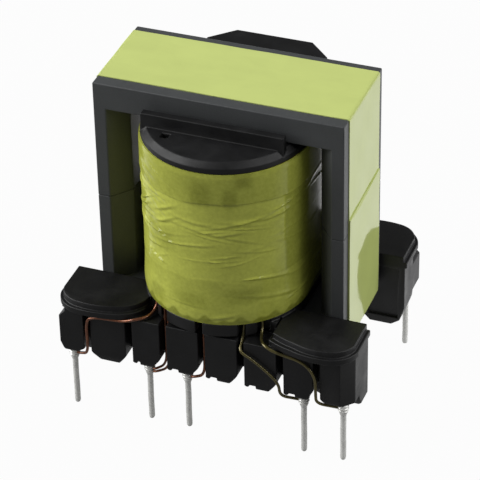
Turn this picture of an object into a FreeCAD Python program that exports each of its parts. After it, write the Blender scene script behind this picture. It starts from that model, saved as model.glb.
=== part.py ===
import FreeCAD, Part
import math
import os

# Vertical switching transformer: two ferrite E halves held together by a tape band, a moulded
# bobbin with a comb of wire slots over each pin row, nested windings and their lead-outs.
# Millimetres, +Z up. The origin is on the plane of the pin tips, in the middle of the pin field.
# X runs along the pin rows and Y across them, with the front row at negative Y.

os.makedirs("parts", exist_ok=True)
V = FreeCAD.Vector

# Ferrite core
core_width = 25.0
core_depth = 11.3
half_height = 12.6
yoke = 2.75
leg = core_width * 0.116
leg_cut_x = 1.65        # bevel on the inner corners of each outer leg
leg_cut_y = 2.0
core_corner_r = 0.15
post_r = core_width * 0.102     # the centre post is an oblong with round ends
air_gap = 0.4           # ground into the upper half's post

# Tape band round the core
band_width = 9.1
band_t = 0.1
band_shift = 0.2        # the band sits this much behind the middle
lap_top = 14.0          # height of the loose end above the core's underside
lap_under = 8.0         # how far the second layer runs under the core

# Pins
pin_pitch = 4.0
pin_places = 8
fitted_places = (0, 2, 3, 6, 7)
pin_back = 1.6          # from the comb's back face to the pins' middle
pin_r = 0.3
pin_free = 5.2          # from the feet down to the tips
pin_held = 5.3          # from the feet up to the shank's end in the moulding

# Bobbin tube and flanges
post_clear = 0.15
tube_wall = 0.8
window_clear = 0.1
low_flange = 1.35
top_flange = 1.1
flange_in = 0.25        # the flanges' round ends stay this far inside the winding
flange_reach = 3.3      # from the middle to the centre of the flange's round ends
rim_bevel = 0.55
ridge_gap = 0.65
ridge_t = 0.8
ridge_h = 1.4
ridge_half = 7.1
tab_half = 6.2
tab_cut = 2.3
tab_reach = 4.5
key_size = 0.8          # small square key hole in the front flange
key_x = -4.3
key_out = 2.3

# Windings, from the tube outwards. Tape has its own thickness and copper shares what is left.
leg_clear = core_width * 0.05   # between the cover tape and the core's legs
build_tape = 0.2
share_primary_inner = 0.345
share_bias = 0.075
share_secondary = 0.345
share_primary_outer = 0.235
margin_share = 0.18     # of the winding's height, above and below the bias winding
cover_clear = 0.05
hidden_sides = 12       # flat sides round each end where only layers meet

# Terminal blocks, one in front of the core and one behind
block_clear = 0.15
foot_drop = 4.6         # from the core's underside down to the feet
end_boss = 1.1          # the comb goes on this far past the end pins
wing_end = 0.2          # and the wing plates this much further
body_back = 2.6         # from the plate's back edge to the comb
body_t = 2.5
wing_t = 1.3
wing_step = 0.35
wing_over = 0.95        # how far the wing plates overhang the comb
wing_drop = 0.4         # the wing plate's top lies this far under the winding
wing_inner = 6.0
wing_shift = 0.6        # the right wing starts this much further out
wing_corner = 2.1       # length of the rounding at a wing's outer corner
wing_turn = 2.35        # how far behind the wing's front edge that rounding starts
wing_sweep = 2.3        # length of the sweep at its inner end
web_lap = 0.15          # the plate's rest on the comb, behind the corner leads
web_half = 4.8          # the plate rests more deeply between them
slot_w = 0.7
slot_shift = 0.15
foot_shift = 0.4        # the slot beside the wide boss is moved towards the middle,
end_shift = 0.3         # and so is the last one
slot_depth = 1.7

# The comb's underside, as heights above its lowest boss
comb_lift = 1.2         # of that boss over the feet
hub_lift = 0.5          # flat round each pin
tooth_lift = 0.6
notch_lift = 0.9        # between a tooth and the flat
shoulder = 1.7          # where a boss ends beside its slot
tooth_w = 0.55
tooth_bevel = 0.15
hub_left = 0.66
hub_right = 0.64
edge_bevel = 0.3
neck = 0.65             # the first boss is this much narrower under the wing
neck_h = 1.3
outer_corner = 1.2      # bevel of the last boss's upright outer corner

# Feet beside the core, one at each end of a block
foot_half = 10.6        # they start this far from the middle
foot_depth = 1.9
foot_slope = 0.9
foot_recess = 0.25      # the wall that faces the core has a proud edge at its end
foot_edge = 0.7

# Solder joints and leads
joint_h = 1.45
joint_r = 0.58
wire_r = 0.15
strand_r = 0.13
wire_sides = 8
turns = 2               # turns of wire that show in each joint
joint_sides = 10
corner_cut = 0.3        # share of the shorter run that each bend of a lead takes

# Levels, all from the sizes above
z_feet = pin_free
z_core = z_feet + foot_drop
z_yoke = z_core + yoke
z_top = z_core + 2 * half_height
z_flange = z_yoke + window_clear
z_wind = z_flange + low_flange
z_flange_top = z_top - yoke - window_clear
z_wind_top = z_flange_top - top_flange
z_wing = z_wind - wing_drop
z_plate = z_wing - wing_t
z_comb = z_feet + comb_lift
z_shoulder = z_comb + shoulder
z_hub = z_comb + hub_lift

# Distances out from the middle plane, the same for the front and the rear block
post_reach = core_depth / 2 - post_r
out_core = core_depth / 2
out_plate = out_core + block_clear
out_body = out_plate + body_back
out_face = out_body + body_t
out_wing = out_face + wing_over
out_pin = out_body + pin_back      # the rows are 20 apart
row_half = pin_pitch * (pin_places - 1) / 2
body_half = row_half + end_boss
block_half = body_half + wing_end

# Radii round the post
tube_r = post_r + post_clear
wall_r = tube_r + tube_wall
winding_r = core_width / 2 - leg - leg_clear
flange_r = winding_r - flange_in
copper_space = winding_r - wall_r - 4 * build_tape


def box(x0, x1, y0, y1, z0, z1):
    return Part.makeBox(x1 - x0, y1 - y0, z1 - z0, V(x0, y0, z0))


def oblong(r, reach, z0, z1, flats=0):
    """Upright solid whose plan is two half circles of radius r, joined by straight sides.
    With flats, each half circle is drawn as that many flat sides."""
    if flats:
        turns = [math.pi * k / flats for k in range(flats + 1)]
        half = [V(r * math.cos(t), reach + r * math.sin(t), z0) for t in turns]
        loop = half + [V(-p.x, -p.y, z0) for p in half]
        return Part.Face(Part.makePolygon(loop + loop[:1])).extrude(V(0, 0, z1 - z0))
    a, b, c, d = V(r, -reach, z0), V(r, reach, z0), V(-r, reach, z0), V(-r, -reach, z0)
    edges = [
        Part.makeLine(a, b),
        Part.Arc(b, V(0, reach + r, z0), c).toShape(),
        Part.makeLine(c, d),
        Part.Arc(d, V(0, -reach - r, z0), a).toShape(),
    ]
    return Part.Face(Part.Wire(edges)).extrude(V(0, 0, z1 - z0))


def prism(points, path):
    """Closed polygon pushed along path."""
    loop = [V(*p) for p in points]
    return Part.Face(Part.makePolygon(loop + loop[:1])).extrude(V(*path))


def round_rect(w, h, r, y0, y1, zc):
    """Rectangle w by h with round corners in the XZ plane, from y0 to y1, its middle at zc."""
    b = box(-w / 2, w / 2, y0, y1, zc - h / 2, zc + h / 2)
    along_y = [e for e in b.Edges if abs(e.Vertexes[0].Y - e.Vertexes[1].Y) > 1e-6]
    return b.makeFillet(r, along_y)


def polygon_loop(r, sides, z):
    """Closed loop of points of a regular polygon round the Z axis."""
    loop = [V(r * math.cos(2 * math.pi * k / sides), r * math.sin(2 * math.pi * k / sides), z)
            for k in range(sides)]
    return loop + loop[:1]


def faceted(rings, sides):
    """Solid of flat faces that is a regular polygon at each height. Rings are (radius, height)."""
    loops = [polygon_loop(r, sides, z) for r, z in rings]
    faces = [Part.Face(Part.makePolygon(loops[0])), Part.Face(Part.makePolygon(loops[-1]))]
    for a, b in zip(loops, loops[1:]):
        faces += [Part.Face(Part.makePolygon([a[k], a[k + 1], b[k + 1], b[k], a[k]]))
                  for k in range(sides)]
    solid = Part.Solid(Part.Shell(faces))
    if solid.Volume < 0:
        solid.reverse()
    return solid


def tube(points, r):
    """Wire of a few flat sides along a route whose corners are cut off, mitred at each bend."""
    pts = [V(*p) for p in points]
    route = pts[:1]
    for before, here, after in zip(pts, pts[1:], pts[2:]):
        cut = corner_cut * min((before - here).Length, (after - here).Length)
        for way in (before - here, after - here):
            way.normalize()
            route.append(here + way * cut)
    route.append(pts[-1])
    ahead = route[1] - route[0]
    turn = FreeCAD.Rotation(V(0, 0, 1), ahead)
    section = Part.makePolygon([route[0] + turn.multVec(p) for p in polygon_loop(r, wire_sides, 0)])
    mitred = 1
    return Part.makePolygon(route).makePipeShell([section], True, False, mitred)


def solid_of(shape):
    return shape.removeSplitter().Solids[0] if len(shape.Solids) == 1 else shape.removeSplitter()


def save(name, shape):
    shape = solid_of(shape)
    assert shape.isValid() and len(shape.Solids) == 1, name
    shape.exportStep("parts/" + name + ".step")


# Core half, standing on its yoke at z = 0
def core_half(gap):
    half = box(-core_width / 2, core_width / 2, -out_core, out_core, 0, yoke)
    inner = core_width / 2 - leg
    for side in (-1, 1):
        plan = [
            (side * core_width / 2, -out_core, 0),
            (side * (inner + leg_cut_x), -out_core, 0),
            (side * inner, leg_cut_y - out_core, 0),
            (side * inner, out_core - leg_cut_y, 0),
            (side * (inner + leg_cut_x), out_core, 0),
            (side * core_width / 2, out_core, 0),
        ]
        half = half.fuse(prism(plan, (0, 0, half_height)))
    half = half.fuse(oblong(post_r, post_reach, 0, half_height - gap)).removeSplitter()
    outer = [e for e in half.Edges
             if abs(e.Length - core_depth) < 1e-6
             and abs(abs(e.Vertexes[0].X) - core_width / 2) < 1e-6
             and max(abs(v.Z) for v in e.Vertexes) < 1e-6]
    return half.makeFillet(core_corner_r, outer)


lower = core_half(0)
lower.translate(V(0, 0, z_core))
upper = core_half(air_gap)
upper.rotate(V(0, 0, 0), V(0, 1, 0), 180)
upper.translate(V(0, 0, z_top))
save("core_lower", lower)
save("core_upper", upper)

# Tape band: one full layer round the core and a second one that ends on the right side
band_mid = (z_core + z_top) / 2
band_front, band_back = band_shift - band_width / 2, band_shift + band_width / 2
band = round_rect(core_width + 2 * band_t, 2 * half_height + 2 * band_t, core_corner_r + band_t,
                  band_front, band_back, band_mid)
lap = round_rect(core_width + 4 * band_t, 2 * half_height + 4 * band_t, core_corner_r + 2 * band_t,
                 band_front, band_back, band_mid)
lap = lap.common(box(core_width / 2 - lap_under, core_width, -band_width, band_width,
                     z_core - 1, z_core + lap_top))
bore = round_rect(core_width, 2 * half_height, core_corner_r, -band_width, band_width, band_mid)
save("core_tape_band", band.fuse(lap).cut(bore))


# Bottom outline of one comb, from left to right: a narrow end boss, a wide one, toothed bosses
def slot_x(i):
    moved = {1: foot_shift, pin_places - 2: -end_shift}.get(i, 0)
    return pin_pitch * (i + 0.5) - row_half - slot_shift + moved


def comb_outline():
    tip, notch, slope = z_comb + tooth_lift, z_comb + notch_lift, shoulder - hub_lift
    line = []
    for i in range(pin_places):
        x = pin_pitch * i - row_half
        left = -body_half if i == 0 else slot_x(i - 1) + slot_w / 2
        right = body_half if i == pin_places - 1 else slot_x(i) - slot_w / 2
        if i == 0:
            line += [(left + neck, z_plate), (left + neck, z_plate - wing_t / 2),
                     (left, z_plate - neck_h), (left, z_hub + hub_lift * 2),
                     (x - hub_left, z_hub), (x + hub_right, z_hub), (right, z_hub + slope / 2)]
        elif i == 1:
            line += [(left, z_hub + hub_lift), (left + shoulder / 2, z_comb),
                     (right - shoulder / 2, z_comb), (right, z_shoulder - hub_lift)]
        elif i < pin_places - 1:
            tooth = left + tooth_w
            line += [(left, tip + tooth_bevel), (left + tooth_bevel, tip), (tooth - tooth_bevel, tip),
                     (tooth, notch), (x - hub_left, notch), (x - hub_left, z_hub),
                     (x + hub_right, z_hub), (right - slot_w / 4, z_shoulder - slope / 4),
                     (right, z_shoulder)]
        else:
            line += [(left, z_hub + hub_lift), (left + hub_lift, z_hub), (right, z_hub),
                     (right, z_plate)]
    return line


def bow(p, q, rise):
    """Arc from p to q that rises outwards from their chord."""
    way = q - p
    out = V(-way.y, way.x, 0) if way.x > 0 else V(way.y, -way.x, 0)
    out.normalize()
    return Part.Arc(p, (p + q) * 0.5 + out * rise, q).toShape()


def wing(side, inset):
    """Plan of one wing plate: straight back and ends, a bowed front edge with a rounded corner."""
    tip = side * (block_half - inset)
    root = side * (wing_inner + inset)
    front = out_wing - inset
    sweep_rise, sweep_end = 0.45, out_body + 0.2
    if side > 0:
        root += wing_shift
        sweep_rise, sweep_end = 0.1, front - 1.4
    corner = V(tip, out_wing - wing_turn, 0)
    bow_start = V(tip - side * wing_corner, front - 0.1, 0)
    bow_end = V(root + side * wing_sweep, front - 0.5, 0)
    inner = V(root, sweep_end, 0)
    back = [V(root, out_plate, 0), V(tip, out_plate, 0)]
    edges = [bow(corner, bow_start, 0.45), bow(bow_start, bow_end, 0.28),
             bow(bow_end, inner, sweep_rise)]
    edges += [Part.makeLine(a, b) for a, b in zip([inner] + back, back + [corner])]
    return Part.Face(Part.Wire(edges))


def end_foot(side):
    """Foot at one end of a block, as a solid with its inner wall facing the core."""
    tip, near = side * body_half, side * foot_half
    outer = [(tip, z_plate), (tip, z_feet + edge_bevel), (tip - side * edge_bevel, z_feet)]
    if side < 0:
        outer = [(tip, z_plate), (tip, z_comb + 2 * hub_lift), (tip + hub_lift, z_feet + comb_lift / 2),
                 (tip + shoulder * 0.8, z_feet)]
    front = outer + [(near + side * foot_slope, z_feet), (near, z_feet + foot_slope), (near, z_plate)]
    foot = prism([(x, out_plate, z) for x, z in front], (0, body_back + web_lap, 0))
    back = out_plate + foot_depth
    section = [(out_plate, z_feet), (back, z_feet), (back + foot_slope, z_hub), (out_face, z_hub),
               (out_face, z_plate), (out_plate, z_plate)]
    foot = foot.common(prism([(-body_half, y, z) for y, z in section], (2 * body_half, 0, 0)))
    x0, x1 = sorted((near + side * foot_edge, tip - side * foot_edge))
    return foot.cut(box(x0, x1, out_plate - 1, out_plate + foot_recess,
                        z_feet + foot_slope, z_plate - foot_recess))


def terminal_block():
    """Block as seen from the front, drawn at positive Y."""
    bottom = comb_outline()
    body = prism([(x, out_body, z) for x, z in bottom], (0, body_t, 0))
    section = [(out_body, z_plate + 1), (out_face, z_plate + 1), (out_face, z_hub + edge_bevel),
               (out_face - edge_bevel, z_comb), (out_body, z_comb)]
    body = body.common(prism([(-body_half, y, z) for y, z in section], (2 * body_half, 0, 0)))
    for i in range(pin_places - 1):
        body = body.cut(box(slot_x(i) - slot_w / 2, slot_x(i) + slot_w / 2,
                            out_face - slot_depth, out_face + 1, 0, z_plate + 1))
    corner = [(body_half + 1, out_face - outer_corner - 1, 0), (body_half + 1, out_face + 1, 0),
              (body_half - outer_corner - 1, out_face + 1, 0)]
    body = body.cut(prism(corner, (0, 0, z_plate)))
    plate = box(-wing_inner - 0.2, wing_inner + wing_shift + 0.2, out_plate, out_body + web_lap,
                z_plate, z_wing)
    web = box(-web_half, web_half, out_plate, out_face - slot_depth, z_plate, z_wing)
    plate = plate.fuse(web)
    for side in (-1, 1):
        low = wing(side, 0).extrude(V(0, 0, wing_t / 2))
        low.translate(V(0, 0, z_plate))
        high = wing(side, wing_step).extrude(V(0, 0, wing_t / 2))
        high.translate(V(0, 0, z_plate + wing_t / 2))
        plate = plate.fuse([low, high, end_foot(side)])
    return body.fuse(plate)


# Bobbin
block = terminal_block()
front_block = block.mirror(V(0, 0, 0), V(0, 1, 0))
rear_block = block.mirror(V(0, 0, 0), V(1, 0, 0))    # the front one, turned half round
top = oblong(flange_r, flange_reach, z_wind_top, z_flange_top)
rim = [e for e in top.Edges if min(v.Z for v in e.Vertexes) > z_flange_top - 1e-6]
top = top.makeChamfer(rim_bevel, rim)
ridge_out = out_core + ridge_gap
ridge = box(-ridge_half, ridge_half, -ridge_out - ridge_t, -ridge_out, z_wind_top + top_flange / 2,
            z_flange_top + ridge_h)
low = oblong(flange_r, flange_reach, z_flange, z_wind)
ridge = ridge.common(oblong(flange_r, flange_reach, z_flange, z_top))
tab_near = out_core + 2 * block_clear
tab_far = tab_near + tab_reach
tab = prism([(-tab_half, tab_near, z_wind_top + top_flange / 2),
             (-tab_half, tab_far - tab_cut, z_wind_top + top_flange / 2),
             (tab_cut - tab_half, tab_far, z_wind_top + top_flange / 2),
             (tab_half - tab_cut, tab_far, z_wind_top + top_flange / 2),
             (tab_half, tab_far - tab_cut, z_wind_top + top_flange / 2),
             (tab_half, tab_near, z_wind_top + top_flange / 2)],
            (0, 0, top_flange / 2 + ridge_h))
bobbin = oblong(wall_r, post_reach, z_flange, z_flange_top)
bobbin = bobbin.fuse([low, top, ridge, tab, front_block, rear_block])
bobbin = bobbin.cut(oblong(tube_r, post_reach, z_flange - 1, z_flange_top + 1))
key_y = -out_core - key_out
bobbin = bobbin.cut(box(key_x - key_size / 2, key_x + key_size / 2, key_y - key_size / 2,
                        key_y + key_size / 2, z_flange_top - top_flange / 2, z_flange_top + 1))

# Leads. x is along the row, out is the distance from the middle plane.
wire_gap = 0.05
lead_out = out_face - slot_depth * 0.47
lead_out_far = out_face - slot_depth * 0.74
lead_near = out_body + web_lap + wire_r + wire_gap
lead_x = wing_inner - slot_w * 0.86
slip = out_face + wire_r + 2 * wire_gap
z_over = z_plate + wire_r + 2 * wire_gap
z_under = z_plate - wire_r - 2 * wire_gap
z_wrap = z_hub - joint_h * 0.4
z_leave = z_hub - wire_r / 2
comb_h = z_plate - z_comb


def pin_x(i):
    return pin_pitch * i - row_half


def end_at(i, side):
    """Last two points of a lead: under the boss, then into the joint on pin i."""
    x = pin_x(i)
    return [(x + side * joint_r * 1.42, out_pin + joint_r * 0.68, z_hub - joint_h * 0.27),
            (x + side * joint_r * 0.58, out_pin + joint_r * 0.26, z_wrap)]


def straight(i, pin, shift=0.0, out=lead_out, drop=0.0):
    """Route down slot i to the pin beside it."""
    x = slot_x(i) + shift
    low_end = [(a, b, c - drop) for a, b, c in end_at(pin, 1)]
    return [(x, out, z_wind), (x, out, z_leave - drop)] + low_end


def over_plate(side):
    """Start of a corner lead: down behind the wing's inner end and out across the plate."""
    return [(side * lead_x, lead_near, z_wind), (side * lead_x, lead_near, z_over + wing_t * 0.6),
            (side * (lead_x + wire_r), lead_near + body_t / 4, z_over + wire_r),
            (side * (lead_x + 3 * wire_r), lead_near + body_t * 0.66, z_over + wire_gap)]


routes = {
    "a": over_plate(-1)
    + [(-lead_x - pin_pitch * 0.37, slip + wire_gap, z_over),
       (slot_x(0) + pin_pitch, slip + wire_gap, z_under),
       (slot_x(0) + pin_pitch * 0.22, slip, z_under - comb_h * 0.03),
       (slot_x(0), slip - wire_r / 2, z_under - comb_h * 0.16),
       (slot_x(0), slip - 3 * wire_r, z_leave + wire_r)]
    + end_at(0, 1),
    "d": straight(3, 3),
    "e": [(slot_x(4), lead_out_far, z_wind), (slot_x(4), lead_out_far, z_plate + wing_t / 2),
          (slot_x(4), lead_out_far + 4 * wire_r, z_plate - comb_h * 0.06),
          (slot_x(4), slip, z_plate - comb_h * 0.16),
          (slot_x(4) + pin_pitch * 0.3, slip + wire_gap, z_plate - comb_h * 0.25),
          (slot_x(4) + pin_pitch * 0.7, slip + wire_gap, z_plate - comb_h * 0.45),
          (slot_x(5), slip, z_plate - comb_h * 0.65),
          (slot_x(5), slip - 2 * wire_r, z_leave)]
    + end_at(6, -1),
    "f": over_plate(1)
    + [(lead_x + pin_pitch * 0.28, slip + wire_gap, z_over),
       (slot_x(6) - pin_pitch * 0.92, slip + wire_gap, z_under),
       (slot_x(6) - pin_pitch * 0.32, slip, z_under - comb_h * 0.06),
       (slot_x(6), slip, z_plate - comb_h * 0.35),
       (slot_x(6), slip - wire_r / 2, z_plate - comb_h * 0.72),
       (slot_x(6), slip - 2 * wire_r, z_leave)]
    + end_at(7, -1),
}
twin = {
    "b": straight(2, 2, -1.3 * strand_r, lead_out_far),
    "c": straight(2, 2, 1.3 * strand_r, lead_out_far + wire_gap, 2.7 * strand_r),
}
single = {"b": straight(2, 2, 0, lead_out_far)}


def lay(points, side, r, inner):
    """Lead on the front (side -1) or the rear row; an inner lead first crosses a flange groove."""
    pts = [(-side * x, side * out, z) for x, out, z in points]
    if inner:
        x, y, z = pts[0]
        z -= r + wire_gap
        pts = [(x, y - side * 10 * r, z), (x, y, z)] + pts[1:]
    return tube(pts, r)


leads = {}
for name, pts in list(routes.items()) + list(twin.items()):
    leads["lead_front_" + name] = lay(pts, -1, strand_r if name in twin else wire_r, False)
for name, pts in list(routes.items()) + list(single.items()):
    leads["lead_rear_" + name] = lay(pts, 1, wire_r, True)

# Notches in the lower flange over the slots, and grooves for the rear winding's leads
exits = [(slot_x(i), lead_out_far - slot_w * 0.6, 0) for i in (2, 3, 4)]
exits += [(end * lead_x, lead_near - slot_w / 4, end * 4 * wire_r) for end in (-1, 1)]
for side in (-1, 1):
    for x, out, drift in [(-side * x, out, -side * drift) for x, out, drift in exits]:
        x0, x1 = x - slot_w / 2 + min(drift, 0), x + slot_w / 2 + max(drift, 0)
        y0, y1 = sorted((side * out, side * (flange_reach + flange_r + 1)))
        bobbin = bobbin.cut(box(x0, x1, y0, y1, z_flange, z_wind))
        if side > 0:
            bobbin = bobbin.cut(box(x - 1.5 * wire_r, x + 1.5 * wire_r, out - 2 * slot_w, out + slot_w,
                                    z_wind - 2 * wire_r - 2 * wire_gap, z_wind))

# Pins: round wire below the joint, with a square shank held in the solder and in the moulding
pins = {}
shank = pin_r * math.sqrt(2)
for side, row in ((-1, "front"), (1, "rear")):
    for i in fitted_places:
        x, y, root = -side * pin_x(i), side * out_pin, z_hub - joint_h
        square = box(x - shank / 2, x + shank / 2, y - shank / 2, y + shank / 2, root,
                     z_feet + pin_held)
        bobbin = bobbin.cut(square)
        pins[(row, i)] = square.fuse(Part.makeCylinder(pin_r, root, V(x, y, 0)))
for (row, i), pin in pins.items():
    save("pin_%s_%d" % (row, i + 1), pin)
save("bobbin", bobbin)

# Each joint is a cone of solder that swells over the turns of wire round the pin
for (row, i), pin in pins.items():
    side = -1 if row == "front" else 1
    x, y = -side * pin_x(i), side * out_pin
    step = joint_h / (turns + 1)
    rings = [(joint_r * 0.9, z_hub)]
    for k in range(turns):
        r = joint_r * (1 - 0.15 * k)
        rings += [(r, z_hub - step * (k + 0.4)), (r * 0.86, z_hub - step * (k + 0.9))]
    rings += [(pin_r * 1.15, z_hub - joint_h)]
    joint = faceted(rings, joint_sides)
    joint.translate(V(x, y, 0))
    joint = joint.cut(pin)
    for name, lead in leads.items():
        if name.startswith("lead_" + row) and lead.BoundBox.intersect(joint.BoundBox):
            joint = joint.cut(lead)
    save("joint_%s_%d" % (row, i + 1), joint)
for name, lead in leads.items():
    save(name, lead)

# Windings and tapes, nested from the tube outwards
layers = [("winding_primary_inner", copper_space * share_primary_inner), ("tape_layer_1", build_tape),
          ("winding_bias", copper_space * share_bias), ("tape_layer_2", build_tape),
          ("winding_secondary", copper_space * share_secondary), ("tape_layer_3", build_tape),
          ("winding_primary_outer", copper_space * share_primary_outer), ("tape_cover", build_tape)]
margin = margin_share * (z_wind_top - z_wind)


def wall(r, z0, z1):
    """Round plan for a wall that shows or lies on the tube, flat-sided where only layers meet."""
    shown = r < wall_r + build_tape / 2 or r > winding_r - build_tape / 2
    return oblong(r, post_reach, z0, z1, 0 if shown else hidden_sides)


def layer(r_in, r_out, z0, z1):
    return wall(r_out, z0, z1).cut(wall(r_in, z0, z1))


r = wall_r
for name, build in layers:
    z0, z1 = z_wind, z_wind_top
    if name == "winding_bias":
        save("margin_tape_lower", layer(r, r + build, z0, z0 + margin))
        save("margin_tape_upper", layer(r, r + build, z1 - margin, z1))
        z0, z1 = z0 + margin, z1 - margin
    if name == "tape_cover":
        z1 -= cover_clear
    save(name, layer(r, r + build, z0, z1))
    r += build
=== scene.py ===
import math

import bmesh
import bpy
import numpy as np
from bpy.props import FloatProperty, FloatVectorProperty, IntProperty, PointerProperty
from mathutils import Matrix, Vector


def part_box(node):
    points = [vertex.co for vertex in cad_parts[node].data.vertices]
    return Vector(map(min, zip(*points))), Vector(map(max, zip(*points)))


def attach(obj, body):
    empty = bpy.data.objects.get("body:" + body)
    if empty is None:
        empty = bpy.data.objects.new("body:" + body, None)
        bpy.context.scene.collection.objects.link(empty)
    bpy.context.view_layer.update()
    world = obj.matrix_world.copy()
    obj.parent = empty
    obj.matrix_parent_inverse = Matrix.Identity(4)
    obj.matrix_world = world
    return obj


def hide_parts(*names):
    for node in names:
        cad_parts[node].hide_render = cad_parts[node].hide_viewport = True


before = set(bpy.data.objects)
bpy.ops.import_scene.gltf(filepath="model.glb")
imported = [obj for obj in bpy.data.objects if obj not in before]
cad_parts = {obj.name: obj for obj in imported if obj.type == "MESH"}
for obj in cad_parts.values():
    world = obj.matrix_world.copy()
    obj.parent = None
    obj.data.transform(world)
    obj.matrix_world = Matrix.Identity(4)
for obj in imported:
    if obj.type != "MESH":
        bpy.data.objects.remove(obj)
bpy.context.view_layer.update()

bl_info = {
    "name": "Vertical transformer",
    "version": (1, 0, 0),
    "blender": (4, 5, 0),
    "location": "3D View > Sidebar > Transformer",
    "description": "Dresses a taped vertical transformer: core, bobbin, windings, pins and leads",
    "category": "Add Mesh",
}

# Lengths are millimetres until they go into a mesh
MM = 0.001
# Side on which each row of pins stands, and the places in a row that carry a pin
ROWS = {"front": -1, "rear": 1}
PLACES = (1, 3, 4, 7, 8)


def span(*nodes):
    """Lowest and highest corner of these CAD nodes together, in millimetres."""
    corners = np.array([[tuple(c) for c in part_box(n)] for n in nodes]) / MM
    return corners[:, 0].min(0), corners[:, 1].max(0)


CORE_LO, CORE_HI = span("core_lower", "core_upper")
BAND_LO, BAND_HI = span("core_tape_band")
COVER_LO, COVER_HI = span("tape_cover")


def colour(r, g, b):
    """Scene-linear colour from the 0 to 255 values that a screen shows."""
    c = np.array([r, g, b]) / 255
    linear = np.where(c <= 0.04045, c / 12.92, ((c + 0.055) / 1.055) ** 2.4)
    return tuple(float(v) for v in linear)


# Sizes and colours that a user would change

def length(name, description, default):
    """A length property whose default is given in millimetres."""
    return FloatProperty(name=name, description=description, default=default * MM, min=0.0,
                         precision=5, unit="LENGTH", subtype="DISTANCE")


def tint(name, description, default):
    """A colour property."""
    return FloatVectorProperty(name=name, description=description, default=default, size=3,
                               min=0.0, max=1.0, subtype="COLOR")


class TransformerSizes(bpy.types.PropertyGroup):
    """Sizes of what the dressing adds to the CAD model."""

    core_edge: length("Core edge", "Rounding ground on the ferrite's edges", 0.12)
    moulding_edge: length("Moulding edge", "Rounding of the bobbin's moulded edges", 0.1)
    wrinkle: length("Wrinkle height", "How far the folds of the cover tape stand up", 0.11)
    barrel: length("Barrel", "How far the middle of the taped winding swells", 0.12)
    ripple: length("Band ripple", "Unevenness of the tape band on the core", 0.015)
    wire: length("Wire radius", "Radius of the single leads", 0.15)
    strand: length("Strand radius", "Radius of each of the two paired leads", 0.13)
    pin_point: length("Pin point", "Length of the rounded point of each pin", 0.35)
    turn_height: length("Turn height", "How far the wire turns show through the solder", 0.06)
    wire_turns: IntProperty(name="Wire turns", description="Turns of wire in each solder joint",
                            default=3, min=1, max=6)


class TransformerColours(bpy.types.PropertyGroup):
    """Base colours of the finishes."""

    ferrite: tint("Ferrite", "Ground ferrite", colour(66, 68, 69))
    moulding: tint("Moulding", "Black moulded bobbin", colour(15, 15, 16))
    band: tint("Core tape", "Film on the core, over pale adhesive", colour(199, 211, 127))
    cover: tint("Cover tape", "Film on the winding, over copper", colour(206, 212, 96))
    stuck: tint("Wetted film", "Cover tape where its adhesive has wetted the layer under it",
                colour(132, 137, 49))
    copper: tint("Copper lead", "Enamelled copper", colour(140, 88, 62))
    straw: tint("Straw lead", "Lead in clear straw-coloured enamel", colour(104, 96, 56))
    tin: tint("Tinned wire", "Tin on the pins and joints", colour(243, 243, 239))


# Node helpers

# Places of the colour sockets on a Mix node
MIX_A, MIX_B, MIX_RESULT = 6, 7, 2
# How much the finer waves of a noise count beside the coarser ones
NOISE_ROUGHNESS = 0.55


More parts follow.
